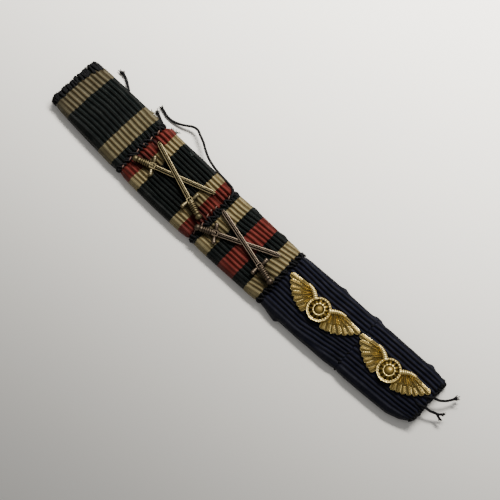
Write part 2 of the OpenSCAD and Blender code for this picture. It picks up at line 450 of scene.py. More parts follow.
# Shader group: fine threads along the ribbon, with streaks, flecks and dust
def makeClothGroup():
    tree, start, end = newTree("wovenThreads", "ShaderNodeTree", {
        "Place": "Vector", "Crest": 1.0, "Thread Pitch": 0.38, "Streaks": 0.5, "Patches": 0.9}, {
        "Shade": "Float", "Height": "Float", "Dust": "Float", "Raised": "Float", "Blotch": "Float"})
    place, crest = start["Place"], start["Crest"]
    x, y = [newValue(tree, "ShaderNodeSeparateXYZ", {0: place}, k) for k in (0, 1)]
    wave = ((addNoise(tree, place, 0.9) * 0.35 + x) / start["Thread Pitch"]).ridged()
    streak = addNoise(tree, newValue(tree, "ShaderNodeCombineXYZ", {0: x * 3.2, 1: y * 0.22}), 1.0, 3.0)
    fleck = addNoise(tree, place, 5.5)
    patch = addNoise(tree, place, 0.33, 3.0)
    swing = (streak - 0.5) * start["Streaks"] + (fleck - 0.5) * 0.7 + (patch - 0.5) * start["Patches"]
    wireUp(tree, end, {
        "Shade": (wave * 0.42 + 0.72) * (swing + 1.0),
        "Height": fleck * 0.6 + wave,
        "Dust": fleck.mapped(0.5, 0.8) * patch.mapped(0.4, 0.75) * crest,
        "Raised": ((fleck - 0.5) * 0.25 + crest).mapped(0.18, 0.72),
        "Blotch": fleck.mapped(0.3, 0.7, 0.6, 1.25)})
    return tree


# Stripes of each ribbon from left to right: colour and share of the width
stripeTones = dict(black=tone(9, 15, 14), cream=tone(128, 117, 84), agedCream=tone(80, 74, 56),
                   duskyCream=tone(94, 87, 64), red=tone(98, 38, 32), navy=tone(20, 22, 36))
# Tints: painted shade in the rib grooves, painted shade and shadow on the cloth, and pale dust
clothTints = dict(groove=(0.34, 0.27, 0.17, 1), sewn=(0.13, 0.12, 0.1, 1), dust=tone(110, 106, 98))
stripes = [
    [("black", 0.059), ("agedCream", 0.168), ("black", 0.463), ("duskyCream", 0.194), ("black", 0.116)],
    [("red", 0.141), ("cream", 0.126), ("black", 0.461), ("cream", 0.122), ("red", 0.15)],
    [("black", 0.07), ("cream", 0.18), ("black", 0.16), ("red", 0.213), ("black", 0.163), ("cream", 0.182),
     ("black", 0.032)],
    [("navy", 1)],
    [("navy", 1)],
]


def makeRibbonMaterial(name, bands, group):
    material, tree, shader = newMaterial(name)
    place, crest = readMark(tree, "clothPlace", "Vector"), readMark(tree, "ribCrest")
    share = (addNoise(tree, place, 2.2) - 0.5) * 0.034 + readMark(tree, "widthShare")
    ramp = addNode(tree, "ShaderNodeValToRGB", {"Fac": share})
    stops = ramp.color_ramp.elements
    ramp.color_ramp.interpolation = "CONSTANT"
    stops[0].color = stripeTones[bands[0][0]]
    stops.remove(stops[1])
    at = 0
    for (_, wide), (color, _) in zip(bands, bands[1:]):
        at += wide
        stops.new(at).color = stripeTones[color]
    woven = addNode(tree, "ShaderNodeGroup", {"Place": place, "Crest": crest}, node_tree=group)
    woven = valuesOf(tree, woven.outputs)
    top = mixColors(tree, 1.0, ramp.outputs[0], woven["Shade"], "MULTIPLY")
    # Painted shade in the rib grooves, where the ribs sink
    groove = mixColors(tree, 1.0, top, clothTints["groove"], "MULTIPLY")
    color = mixColors(tree, woven["Raised"], groove, top)
    # Painted shade and shadow: the cloth darkens beside the seams, in the puckers' dips, in the swords'
    # shadows and along the bar's edges
    shadeShare = readMark(tree, "sewn").calc("MULTIPLY", woven["Blotch"], clamp=True)
    color = mixColors(tree, shadeShare, color, mixColors(tree, 1.0, color, clothTints["sewn"], "MULTIPLY"))
    wireUp(tree, shader, {
        "Base Color": mixColors(tree, woven["Dust"] * 0.35, color, clothTints["dust"]),
        "Normal": addBump(tree, woven["Height"], 0.04 * mm, 0.9),
        "Roughness": 0.55, "Specular IOR Level": 0.09})
    return material


# Geometry Nodes: raises the ribs along ribPhase and keeps their height for the colours
def makeRibTree():
    tree, start, end = newGeometryTree("ribRelief", {
        "Rib Height": 0.25 * mm, "Wander": 0.1, "Unevenness": 0.3, "Groove Share": 0.6})
    fade, place = readNamed(tree, "ribFade"), newValue(tree, "GeometryNodeInputPosition")
    stretched = newValue(tree, "ShaderNodeVectorMath", {0: place, 1: (0.4, 1, 1)}, operation="MULTIPLY")
    slow = addNoise(tree, stretched, 420.0, seed=start["Seed"])
    fine = addNoise(tree, place, 1500.0, seed=start["Seed"])
    moved = (slow - 0.5) * (start["Wander"] * 4.0) + readNamed(tree, "ribPhase")
    ridge = moved.ridged().calc("POWER", 1.45)
    uneven = (fine - 0.5) * start["Unevenness"] + 1.0
    sunk = ridge * (start["Groove Share"] + 1.0) - start["Groove Share"]
    offset = newValue(tree, "GeometryNodeInputNormal").scaled(sunk * uneven * fade * start["Rib Height"])
    stored = newValue(tree, "GeometryNodeStoreNamedAttribute", {
        "Geometry": start["Geometry"], "Name": "ribCrest", "Value": ridge * fade + (1.0 - fade) * 0.7},
        data_type="FLOAT", domain="POINT")
    raised = newValue(tree, "GeometryNodeSetPosition", {"Geometry": stored, "Offset": offset})
    return finishTree(tree, raised, start, end)


# Geometry Nodes: a two-ply thread along every line of edges
def makeThreadTree():
    tree, start, end = newGeometryTree("twistedThread", {
        "Thickness": 0.4 * mm, "Waist": 0.35, "Twist Pitch": 1.2 * mm, "Unevenness": 0.3, "Sides": 8})
    radius, spot = start["Thickness"] * 0.5, newValue(tree, "GeometryNodeInputPosition")
    ring = newValue(tree, "GeometryNodeCurvePrimitiveCircle",
                    {"Resolution": start["Sides"], "Radius": radius})
    across = newValue(tree, "ShaderNodeSeparateXYZ", {0: spot}, 1) / radius
    waisted = spot.scaled(1.0 - across * across * start["Waist"])
    profile = newValue(tree, "GeometryNodeSetPosition", {"Geometry": ring, "Position": waisted})
    line = newValue(tree, "GeometryNodeMeshToCurve", {"Mesh": start["Geometry"]})
    line = newValue(tree, "GeometryNodeCurveSplineType", {"Curve": line}, spline_type="CATMULL_ROM")
    line = newValue(tree, "GeometryNodeSetSplineResolution", {"Geometry": line, "Resolution": 8})
    line = newValue(tree, "GeometryNodeResampleCurve", {"Curve": line, "Length": start["Thickness"] * 0.45},
                    mode="LENGTH")
    along = newValue(tree, "GeometryNodeSplineParameter", output="Length")
    tilt = along * (2 * math.pi) / start["Twist Pitch"]
    line = newValue(tree, "GeometryNodeSetCurveTilt", {"Curve": line, "Tilt": tilt})
    lumps = (addNoise(tree, spot, 2200.0, seed=start["Seed"]) - 0.5) * start["Unevenness"] + 1.0
    wide = lumps * readNamed(tree, "swell")
    line = newValue(tree, "GeometryNodeSetCurveRadius", {"Curve": line, "Radius": wide})
    skin = newValue(tree, "GeometryNodeCurveToMesh",
                    {"Curve": line, "Profile Curve": profile, "Fill Caps": True})
    return finishTree(tree, skin, start, end)


# Geometry Nodes: puts an object on every point, by the point's own turn and size
def makeRepeatTree():
    tree, start, end = newGeometryTree("repeatOnPoints", {"Object": "Object", "Spread": 0.0})
    part = newValue(tree, "GeometryNodeObjectInfo", {"Object": start["Object"]}, "Geometry")
    turn, size = [readNamed(tree, name, "FLOAT_VECTOR") for name in ("turn", "size")]
    reach = {2: 1.0 - start["Spread"], 3: start["Spread"] + 1.0, "Seed": start["Seed"]}
    chance = newValue(tree, "FunctionNodeRandomValue", reach, 1, data_type="FLOAT")
    spread = newValue(tree, "GeometryNodeInstanceOnPoints", {
        "Points": start["Geometry"], "Instance": part, "Rotation": turn, "Scale": size.scaled(chance)})
    return finishTree(tree, spread, start, end, smooth=False)


# Sewn seams, one value for each end or seam from left to right: pitch of the stitches, half their length, how
# far the row is shifted, thickness of the thread and how hard it pulls
sewing = dict(pitches=[0.5, 0.95, 0.95, 1.05, 2.6, 0.9], halves=[1, 0.75, 0.75, 0.75, 0.35, 1], spread=0.3,
              shifts=[0, -0.4, 0.4, -0.3, 0, 0], threads=[0.8, 0.6, 0.6, 0.6, 0.36, 0.5],
              pulls=[1, 1, 1, 1, 0.15, 0.6], dip=0.36, dipWide=0.34, dipReach=0.7, droop=0.3, droopReach=0.45,
              reach=12.4, seed=7)


# Where over the section each stitch of each seam lies
def stitchPlaces():
    chance = np.random.default_rng(sewing["seed"])
    seams = []
    for pitch in sewing["pitches"]:
        count = int(2 * sewing["reach"] / pitch)
        s = np.linspace(-sewing["reach"], sewing["reach"], count)
        seams.append(s + chance.uniform(-1, 1, count) * sewing["spread"])
    return seams


seamStitches = stitchPlaces()

# Ribbons: grid of the wall, its reach into the gap at a seam, and for each a row of rib count, first rib and
# rib height
ribbonGrid = dict(columns=64, flapSteps=16, rollSteps=28, faceSteps=136, innerStep=8, endCrowding=0.09,
                  seamReach=0.09)
ribRows = [(11.05, 0.2, 1.0), (12.6, 0.0, 1.3), (12.2, 0.4, 1.1), (12.7, 0.3, 1.15), (12.5, 0.1, 1.15)]

# How far the ribs of each ribbon rise on their way across it, below and above the middle: place, millimetres
firstCourse = [(0, -0.8), (0.16, -0.6), (0.42, -0.06), (0.6, -0.06), (0.78, -0.27), (1, -0.3)]
ribCourses = [(firstCourse, firstCourse),
              ([(0, 0), (1, 0.2)], [(0, 0), (1, 0)]),
              ([(0, -0.5), (0.78, -0.4), (1, 0.7)],
               [(0, -0.4), (0.17, -0.38), (0.45, 0.36), (0.8, 0.85), (1, 1.6)]),
              ([(0, -0.4), (0.45, -0.6), (0.7, 0.2), (1, 1.3)], [(0, -0.1), (0.45, -0.45), (1, 0)]),
              ([(0, -0.35), (1, 0)], [(0, 0), (0.5, 0.1), (1, -0.2)])]
ribFading = dict(rollFrom=1.3, lowerFrom=-0.7, rollOver=1.5, underShare=0.14, underTo=0.6, sewnShare=0.35,
                 sewnReach=0.6, courseOver=8, seamShades=[0.6, 0.6, 0.5, 0.6, 0.05, 0.3], seamShadeOver=0.5,
                 cornerFrom=0.3, cornerShare=0.62)

# Puckers and lumps of the cloth: x along the bar, s over the section, reach in x and s, depth inwards,
# painted shade
# Rows with no depth only paint shadow round the sword guards
puckers = [
    (25.4, 3.3, 2.2, 1.0, 0.8, 1.1), (25.6, -3.6, 2.4, 1.15, 0.75, 1.0), (48.3, 3.9, 1.9, 0.8, 0.6, 0.35),
    (48.5, -4.0, 2.3, 1.1, 0.7, 0.55), (26.6, 6.6, 1.6, 1.3, -0.45, 0), (26.4, 0, 1.4, 1.4, -0.4, 0),
    (26.4, -6.6, 1.6, 1.2, -0.4, 0), (48.0, 6.8, 1.4, 1.3, -0.4, 0), (48.2, -0.2, 1.3, 1.6, -0.4, 0),
    (26.8, 9.4, 1.1, 1.0, -0.5, 0), (57.1, 9.5, 1.1, 1.2, -0.3, 0), (67.2, 9.5, 1.1, 1.2, -0.3, 0),
    (88.7, 9.6, 0.9, 1.1, -0.4, 0), (100.3, 9.6, 1.4, 1.2, -1.0, 0), (118.9, 9.6, 1.1, 1.2, -0.65, 0),
    (124.0, 9.3, 0.7, 1.2, -0.6, 0), (50.9, -5.2, 1.2, 1.4, 0.35, 0.6), (51.2, 4.6, 0.9, 0.9, 0.3, 0.5),
    (73.2, -3.4, 1.4, 1.2, 0.3, 0.5), (75.3, 5.5, 0.9, 1.2, 0.3, 0.5), (99.7, -7.0, 1.2, 1.4, 0.35, 0.5),
    (29.4, -1.2, 1.9, 2.0, 0, 0.5), (44.1, 0.3, 1.6, 1.8, 0, 0.35), (53.7, -2.3, 1.8, 2.1, 0, 0.6),
    (71.2, -3.6, 2.6, 2.4, 0, 0.8), (71.3, -7.4, 2.3, 1.7, 0, 0.5), (34, 5, 2.2, 1.4, 0.12, 0.15),
    (41, -5.5, 2.6, 1.2, 0.12, 0.15), (12, 4.5, 3, 1.5, 0.1, 0.1)]

# Painted shade on the cloth: shadows beside the swords' blades and round their hilts, and darker rolls along
# the bar's edges
paintedShade = dict(blade=0.4, bladeWide=1.2, bladeBelow=0.7, hilt=1.0, hiltWide=2.3, hiltFrom=2.2, hiltTo=1.5,
             hiltBelow=-0.4, edges=[(-1, 0.55, 1.0), (1, 0.3, -0.4)], edgeOver=1.5)


def paintShadeOnCloth(x, s, rollY):
    share = np.zeros_like(s)
    # Painted shade over the rolls: darker down the lower edge, which turns from the light, and over the top
    # edge
    for side, deep, start in paintedShade["edges"]:
        share = np.maximum(share, deep * shareOf(side * s - rollY, -start, paintedShade["edgeOver"]))
    # Painted shadows beside the blades and round the hilts
    for node in swordPlaces:
        centreX, centreY, turn, slide = swordSpot(node)
        for upper in (True, False):
            start = swordStart(upper, slide)
            end = start + sword["length"]
            guardAt = end - sword["hilt"]
            spans = {"blade": (start, guardAt), "hilt": (guardAt - paintedShade["hiltFrom"], end - paintedShade["hiltTo"])}
            for part, (low, high) in spans.items():
                t, side = alongSword(x - centreX, s - centreY + paintedShade[part + "Below"], upper, turn)
                away = np.hypot(side, t - np.clip(t, low, high))
                share = np.maximum(share, paintedShade[part] * np.exp(-(away / paintedShade[part + "Wide"]) ** 2))
    return share


def puckerCloth(x, s):
    depth, shade = np.zeros_like(s), np.zeros_like(s)
    for atX, atS, overX, overS, deep, dark in puckers:
        near = np.exp(-((x - atX) / overX) ** 2 - ((s - atS) / overS) ** 2)
        depth, shade = depth + deep * near, shade + dark * near
    return depth, np.clip(shade, 0, 1)


# How far the stitches of the nearest seam draw the cloth in
def dipCloth(seam, s, fromEnd):
    dips = np.exp(-((s[:, None] - seamStitches[seam][None]) / sewing["dipWide"]) ** 2).sum(1)
    dip = sewing["dip"] * np.clip(dips, 0, 1) * math.exp(-fromEnd / sewing["dipReach"])
    return (dip + sewing["droop"] * math.exp(-(fromEnd / sewing["droopReach"]) ** 2)) * sewing["pulls"][seam]


# How strongly the ribs rise: less over the rolls and beside a seam, and not at all under the bar
def fadeRibs(s, rollY, fromEnd):
    over = np.abs(s) - rollY
    fadeFrom = np.where(s < 0, ribFading["lowerFrom"], ribFading["rollFrom"])
    fade = 1 - (1 - ribFading["underShare"]) * shareOf(over, fadeFrom, ribFading["rollOver"])
    fade = fade * (1 - ribFading["sewnShare"] * math.exp(-fromEnd / ribFading["sewnReach"]))
    return fade * (over <= rollLength - ribFading["underTo"])


# One station of a ribbon's wall: its points, outer then inner, and their marks
def ribbonStation(i, k, place, shares, inner):
    atSeam = (k == ribbonGrid["columns"] and i < 4) - (k == 0 and i > 0)
    x = stationX(i, place) + ribbonGrid["seamReach"] * atSeam
    edge = float(halfHeight(x, place))
    rollY = edge - rollRadius
    rollS = rollY + rollLength * shares["roll"]
    upper = np.concatenate([rollS, rollS[-1] + (bar["flap"] - rollRadius) * shares["flap"]])
    s = np.concatenate([-upper[::-1], rollY * shares["face"], upper])[::-1]
    y, z, outY, outZ = sectionPoint(edge, bar["crown"] * float(fromTable(bar["fullness"], place)), s)
    fromEnd = min(place, 1 - place) * ribbonWides[i]
    seam = i if place < 0.5 else i + 1
    pucker, dark = puckerCloth(x, s)
    dip = dipCloth(seam, s, fromEnd) + pucker
    # Painted shade beside the seams, joined with the painted shade of the puckers and the painted shadows of
    # the swords
    seamShade = ribFading["seamShades"][seam] * math.exp(-(fromEnd / ribFading["seamShadeOver"]) ** 2)
    dark = np.maximum(np.maximum(dark, paintShadeOnCloth(x, s, rollY)), seamShade)
    turned = float(fromTable(bar["corner"], place)) * (i == bar["cornerRibbon"]) * bar["cornerReach"]
    lower = shareOf(-s, rollY, rollLength)
    lower = shareOf(lower, ribFading["cornerFrom"], 1 - ribFading["cornerFrom"])
    pullX, pullY = pullCloth(x, s)
    alongX, y = x + pullX, y + pullY - turned * ribFading["cornerShare"] * np.sin(math.pi * lower) ** 1.5
    inside = onBar(alongX, y - outY * bar["wall"], z - outZ * bar["wall"])[inner][::-1]
    below, above = [float(fromTable(rows, place)) for rows in ribCourses[i]]
    course = below + (above - below) * np.clip(s / ribFading["courseOver"] + 0.5, 0, 1)
    count, first = ribRows[i][:2]
    pitch = 2 * (bar["height"] / 2 - rollRadius) / count
    zeros = np.zeros(len(inner))
    allS = np.concatenate([s, s[inner][::-1]])
    return np.concatenate([onBar(alongX, y - outY * dip, z - outZ * dip), inside]), {
        "ribPhase": np.concatenate([(s - course) / pitch + first, zeros]),
        "ribFade": np.concatenate([fadeRibs(s, rollY, fromEnd), zeros]),
        "sewn": np.concatenate([dark, zeros]),
        "clothPlace": np.stack([np.full_like(allS, stationX(i, place)), allS, np.zeros_like(allS)], -1),
        "widthShare": np.full_like(allS, place)}


def makeRibbonMesh(i):
    grid = ribbonGrid
    shares = {part: np.linspace(0, 1, grid[part + "Steps"] + 1)[1:] for part in ("roll", "flap")}
    shares["face"] = np.linspace(-1, 1, grid["faceSteps"] + 1)
    t = np.linspace(0, 1, grid["columns"] + 1)
    places = t - grid["endCrowding"] * np.sin(2 * math.pi * t)
    steps = 2 * (grid["rollSteps"] + grid["flapSteps"]) + grid["faceSteps"]
    inner = np.arange(0, steps + 1, grid["innerStep"])
    stations = [ribbonStation(i, k, place, shares, inner) for k, place in enumerate(places)]
    around = len(stations[0][0])
    faces = turnOver(ringFaces(len(places), around))
    last = (len(places) - 1) * around
    for k in range(len(inner) - 1):
        rim = (*range(inner[k], inner[k + 1] + 1), around - 2 - k, around - 1 - k)
        faces += [rim, tuple(last + v for v in rim[::-1])]
    mesh = newMesh("ribbonWall" + str(i + 1), np.concatenate([points for points, _ in stations]), faces)
    for name in stations[0][1]:
        storeValues(mesh, name, np.concatenate([marks[name] for _, marks in stations]))
    return mesh


# Nothing hangs below the surface that the bar lies on
def keepAbove(mesh):
    points = readPoints(mesh)
    points[:, 2] = np.maximum(points[:, 2], 0)
    mesh.vertices.foreach_set("co", points.ravel())
    mesh.update()


ribs = {"Wander": 0.1, "Unevenness": 0.55, "Groove Share": 0.7}


def addRibbons(backing, ribTree, clothGroup):
    for i in range(5):
        name = "ribbonCloth" + str(i + 1)
        piece = applyTree(name, makeRibbonMesh(i), ribTree, {
            **ribs, "Rib Height": (bar["ribRise"] + 0.04) * ribRows[i][2] * mm, "Seed": 11 + i,
            "Material": makeRibbonMaterial(name, stripes[i], clothGroup)})
        keepAbove(piece.data)
        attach(piece, "root")
        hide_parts("ribbon_" + str(i + 1))
    print("ribbons made")


# Felt or thread, by the scale, detail and depth of its fibres and the range that its shades cover
def makeFibreMaterial(name, dark, light, scale, detail, between, deep, patches=None):
    material, tree, shader = newMaterial(name)
    place = newValue(tree, "ShaderNodeTexCoord", output="Object")
    fibre = addNoise(tree, place, scale, detail)
    shade = addNoise(tree, place, patches, 3.0) * 0.6 + fibre if patches else fibre
    wireUp(tree, shader, {"Base Color": mixColors(tree, shade.mapped(*between), dark, light),
                          "Normal": addBump(tree, fibre, deep * mm)})
    return material, tree, shader


# Felted backing strip between the flaps
backingStrip = dict(round=0.35, stations=180, inset=0.35, dark=tone(24, 26, 26), light=tone(70, 70, 66))


def addBacking():
    material, tree, shader = makeFibreMaterial("backingFelt", backingStrip["dark"], backingStrip["light"],
                                               2600.0, 5.0, (0.55, 1.05), 0.15, patches=240.0)
    wireUp(tree, shader, {"Roughness": 0.95})
    x = np.linspace(backingStrip["inset"], barLength - backingStrip["inset"], backingStrip["stations"])
    half = halfHeight(x, 0) - rollRadius
    low, high = bar["wall"] + bar["backingGap"], bar["wall"] + bar["backingGap"] + bar["backing"]
    r = backingStrip["round"]
    corner = [(1 - math.cos(a), 1 - math.sin(a)) for a in np.linspace(0, math.pi / 2, 4)]
    rings = []
    for side, level, order in ((1, 1, 1), (-1, 1, -1), (-1, -1, 1), (1, -1, -1)):
        for inY, inZ in corner[::order]:
            z = high - r * inZ if level > 0 else low + r * inZ
            y = side * (half - r * inY)
            pullX, pullY = pullCloth(x, y)
            rings.append(onBar(x + pullX, y + pullY, z))
    points, faces = loftRings(np.stack(rings, 1))
    piece = newSolid("backingFelt", points, faces, material)
    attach(piece, "root")
    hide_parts("backing_strip")
    return piece


def makeThreadMaterial(name, dark, light):
    material, tree, shader = makeFibreMaterial(name, dark, light, 3800.0, 4.0, (0.4, 0.75), 0.05)
    wireUp(tree, shader, {"Roughness": 0.8, "Specular IOR Level": 0.15})
    return material


# Threads along lists of points in metres, with how much thicker each point is
def addStrands(name, lines, material, thick, seed, uneven, waist=0.2, twist=1.1, sides=8, swells=None):
    points, edges, count = np.concatenate(lines), [], 0
    for line in lines:
        edges += [(count + k, count + k + 1) for k in range(len(line) - 1)]
        count += len(line)
    mesh = newMesh(name + "Lines", points, [], edges)
    storeValues(mesh, "swell", np.ones(count) if swells is None else np.concatenate(swells))
    piece = applyTree(name, mesh, threadTree, {
        "Thickness": thick * mm, "Waist": waist, "Twist Pitch": twist * mm, "Unevenness": uneven,
        "Sides": sides, "Seed": seed, "Material": material})
    keepAbove(piece.data)
    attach(piece, "root")


# A stitch over a seam: shares of its half length and heights. A stitch over an end of the bar, from the face
# round the rim to the back: shares of its length on the face, steps in from the rim, shares of its lean and
# heights. The pairs are the ranges of the random draws
seamStitch = dict(across=[-1, -0.8, -0.35, 0, 0.35, 0.8, 1], rise=[-0.5, -0.1, 0.05, 0.1, 0.05, -0.1, -0.5],
                  leans=(-0.25, 0.9), longer=(0.7, 1.25), lifts=(-0.05, 0.08))
endStitch = dict(face=[1, 0.85, 0.35], lean=[1, 0.8, 0.3, 0, 0, 0, 0], rim=[0.1, 0, 0.1], back=0.45,
                 rise=[-0.3, 0.05, 0.1, -0.1, -0.55, -0.95, -1.2], leans=(-0.5, 0.7), firstLong=(1.1, 1.7),
                 lastLong=(0.35, 0.75), rims=(-0.06, 0.06), wave=0.1, waveTurn=1.7, growsFrom=9)


def seamLines(k, chance):
    lines = []
    across, rise = np.array(seamStitch["across"]), np.array(seamStitch["rise"])
    for s in seamStitches[k]:
        lean = chance.uniform(*seamStitch["leans"])
        half = sewing["halves"][k] * chance.uniform(*seamStitch["longer"])
        x = seamX[k] + sewing["shifts"][k] + half * across
        lines.append(onCloth(x, s + lean * across, rise + chance.uniform(*seamStitch["lifts"])))
    return lines


def endLines(k, chance):
    lines = []
    outwards = -1 if k == 0 else 1
    for s in seamStitches[k]:
        if k == 0:
            inside = chance.uniform(*endStitch["firstLong"]) + max(s / endStitch["growsFrom"], 0) ** 2
        else:
            inside = chance.uniform(*endStitch["lastLong"])
        lean = chance.uniform(*endStitch["leans"])
        wave = endStitch["wave"] * math.sin(endStitch["waveTurn"] * s + k)
        rim = outwards * (chance.uniform(*endStitch["rims"]) + wave)
        x = [-outwards * inside * share for share in endStitch["face"]]
        x += [rim - outwards * step for step in endStitch["rim"]] + [-outwards * endStitch["back"]]
        alongS = s - lean * np.array(endStitch["lean"])
        lines.append(onCloth(seamX[k] + np.array(x), alongS, np.array(endStitch["rise"])))
    return lines


def addStitches(black):
    chance = np.random.default_rng(sewing["seed"] + 1)
    for k in range(6):
        lines = endLines(k, chance) if k in (0, 5) else seamLines(k, chance)
        addStrands("seamStitches" + str(k + 1), lines, black, sewing["threads"][k], seed=k, uneven=0.6)
    print("stitches made")


# Loose ends of the sewing thread, as points in the frame; the left ones lie on the table and climb to the
# cloth, and the right ones stand out over it
looseEnds = [
    [(-55.9, 12.3, 0.5), (-54.9, 12.15, 0.5), (-53.6, 11.5, 0.6), (-52.8, 10.9, 1.1), (-51.3, 9.8, 2.2),
     (-50.6, 9.0, 2.7)],
    [(-42.1, 10.85, 0.5), (-41.3, 10.6, 0.5), (-40.3, 10.1, 0.9), (-38.8, 9.3, 2.2), (-38.0, 8.8, 2.7)],
    [(-42.1, 12.6, 0.5), (-41.2, 12.35, 0.5), (-39.6, 11.9, 0.45), (-38.0, 11.9, 0.45), (-36.7, 12.2, 0.7),
     (-35.3, 12.7, 1.0), (-34.0, 13.4, 1.35), (-32.6, 14.2, 1.7), (-31.1, 14.4, 2.0), (-29.4, 13.7, 2.2),
     (-27.6, 12.9, 2.35), (-26.0, 11.9, 2.4), (-24.3, 11.0, 2.4), (-22.7, 10.4, 2.35), (-21.0, 10.0, 2.3),
     (-19.2, 9.7, 2.3), (-17.2, 9.5, 2.5), (-15.2, 9.3, 2.8), (-13.7, 9.0, 3.2), (-12.8, 8.4, 3.6),
     (-12.3, 7.7, 3.8), (-12.2, 6.9, 3.6)],
    [(59.6, 2.7, 3.2), (60.8, 3.1, 3.6), (62.2, 4.0, 3.4), (63.5, 4.6, 2.9), (64.7, 5.6, 2.5),
     (65.6, 6.9, 2.2), (66.2, 8.1, 2.0)],
    [(59.6, 0.0, 3.2), (60.9, 0.2, 3.6), (62.2, 0.7, 3.3), (63.5, 0.9, 2.9), (64.8, 1.4, 2.6),
     (65.8, 1.9, 2.4), (66.6, 2.6, 2.3)],
    [(64.4, 1.3, 2.7), (65.5, 1.6, 2.4), (66.8, 1.2, 2.3)],
]
fray = dict(thread=0.74, fibres=30, length=1.75, thick=0.2, open=0.13, openAt=2.4, back=1.2, bend=0.08,
            above=0.08, knobs=[2.7, 2.3, 2.4, 4.2, 2.3, 1.0], seed=23)


def frayLines():
    chance = np.random.default_rng(fray["seed"])
    lines = []
    for end, knob in zip(looseEnds, fray["knobs"]):
        tip, before = np.array(end[:2] if end[0][2] < end[-1][2] else end[:-3:-1])
        ahead = (tip - before) / np.linalg.norm(tip - before)
        for _ in range(fray["fibres"]):
            way = ahead + chance.normal(0, fray["open"] * knob / fray["openAt"], 3)
            steps = np.linspace(0, 1, 5)[:, None] * fray["length"] * chance.uniform(0.7, 1)
            line = tip - ahead * fray["back"] + way * steps + chance.normal(0, fray["bend"], 3) * steps ** 2
            line[:, 2] = np.maximum(line[:, 2], fray["above"])
            lines.append(line * mm)
    return lines


def addLooseEnds(black):
    swells = []
    for end, knob in zip(looseEnds, fray["knobs"]):
        swell = np.ones(len(end))
        swell[:3] = (knob * 0.9, knob, 1.05)
        swells.append(swell if end[0][2] < end[-1][2] else swell[::-1])
    lines = [np.array(end) * mm for end in looseEnds]
    addStrands("looseThreads", lines, black, fray["thread"], seed=31, uneven=0.25, waist=0.05, twist=1.5,
               sides=12, swells=swells)
    addStrands("looseFibres", frayLines(), black, fray["thick"], seed=32, uneven=0.2, waist=0.0, twist=1.0,
               sides=4)
    print("loose threads made")


# Pale loops along the second ribbon's edges and a knot on the top edge
loops = dict(places=[(24.6, 5.9), (24.5, 3.3), (24.2, 0.9), (24.3, -1.4), (24.4, -4.3), (24.5, -7.0),
                     (50.0, 6.2), (49.4, 1.9), (49.1, 0.3), (49.3, -1.2), (49.9, -3.8), (49.8, -6.5)],
             long=0.5, lean=0.2, thick=0.33, across=[-1, -0.6, 0, 0.6, 1], rise=[-0.3, 0.1, 0.2, 0.1, -0.3],
             seed=41)
knot = dict(at=(74.15, 9.3), round=0.42, turns=3, steps=40, long=0.6, thick=0.5)

# Tufts of broken fibres: x along the bar, s over the section, how many, how long, colour
tufts = [(18.8, 9.7, 16, 0.9, "creamThread"), (27.2, 9.6, 16, 1.6, "greyLint"),
         (34.8, 7.9, 7, 0.4, "greyLint")]
tuftFibre = dict(thick=0.15, overX=0.3, bendX=0.5, overS=(-0.4, 0.4), bendS=(-0.2, 0.5), root=-0.2,
                 rise=(0.5, 1.0))
threadTones = dict(paleThread=(tone(98, 70, 61), tone(144, 117, 103)),
                   creamThread=(tone(90, 84, 60), tone(140, 132, 100)),
                   greyLint=(tone(62, 70, 68), tone(112, 118, 112)))


def addTrimmings(black):
    chance = np.random.default_rng(loops["seed"])
    materials = {name: makeThreadMaterial(name, *tones) for name, tones in threadTones.items()}
    lines = []
    for x, s in loops["places"]:
        t = np.array(loops["across"]) * chance.uniform(0.7, 1.2)
        lines.append(onCloth(x - loops["lean"] * t, s + loops["long"] * t, np.array(loops["rise"])))
    addStrands("edgeLoops", lines, materials["paleThread"], loops["thick"], seed=51, uneven=0.5, twist=0.9)
    turns = np.linspace(0, 2 * knot["turns"] * math.pi, knot["steps"])
    x = knot["at"][0] + knot["round"] * np.cos(turns) + knot["long"] * np.linspace(-0.5, 0.5, knot["steps"])
    line = onCloth(x, knot["at"][1] + knot["round"] * np.sin(turns), 0.15 + 0.12 * np.sin(1.5 * turns))
    addStrands("threadKnot", [line], black, knot["thick"], seed=52, uneven=0.5)
    for k, (atX, atS, count, long, color) in enumerate(tufts):
        lines = []
        for _ in range(count):
            t = long * np.linspace(0, 1, 4)
            x = atX + chance.normal(0, tuftFibre["overX"]) + chance.normal(0, tuftFibre["bendX"]) * t
            s = atS + chance.uniform(*tuftFibre["overS"]) + chance.uniform(*tuftFibre["bendS"]) * t
            lines.append(onCloth(x, s, tuftFibre["root"] + chance.uniform(*tuftFibre["rise"]) * t))
        addStrands("tuft" + str(k + 1), lines, materials[color], tuftFibre["thick"], seed=53 + k,
                   uneven=0.3, waist=0.0, twist=1.0, sides=5)
    print("loops, knot and tufts made")


# Shader group: metal that is bright where it is rubbed and dark in its grooves
def makeMetalGroup():
    tree, start, end = newTree("wornMetal", "ShaderNodeTree", {
        "Place": "Vector", "Hollow": 0.0, "Bright": (1, 1, 1, 1), "Body": (0.5, 0.5, 0.5, 1),
        "Tarnish": (0.05, 0.04, 0.03, 1), "Tarnish Share": 0.3, "Smooth": 0.25, "Dull": 0.0}, {
        "Color": "Color", "Roughness": "Float", "Height": "Float"})
    hollow, dull = start["Hollow"], start["Dull"]
    patch, grain = addNoise(tree, start["Place"], 700.0, 4.0), addNoise(tree, start["Place"], 4200.0, 3.0)
    depth = (patch - 0.5) * 1.1 + hollow * 1.3 + (grain - 0.5) * 0.5 + dull * 0.36
    dark = depth.calc("ADD", start["Tarnish Share"], clamp=True)
    rubbed = (-0.05 - hollow).calc("MULTIPLY", 3.0, clamp=True) * (dull * -0.6 + 1.0)
    color = mixColors(tree, rubbed, start["Body"], start["Bright"])
    wireUp(tree, end, {
        "Color": mixColors(tree, dark, color, start["Tarnish"]),
        "Roughness": dark * 0.35 + start["Smooth"] + grain * 0.15,
        "Height": patch * 0.5 + grain})
    return tree


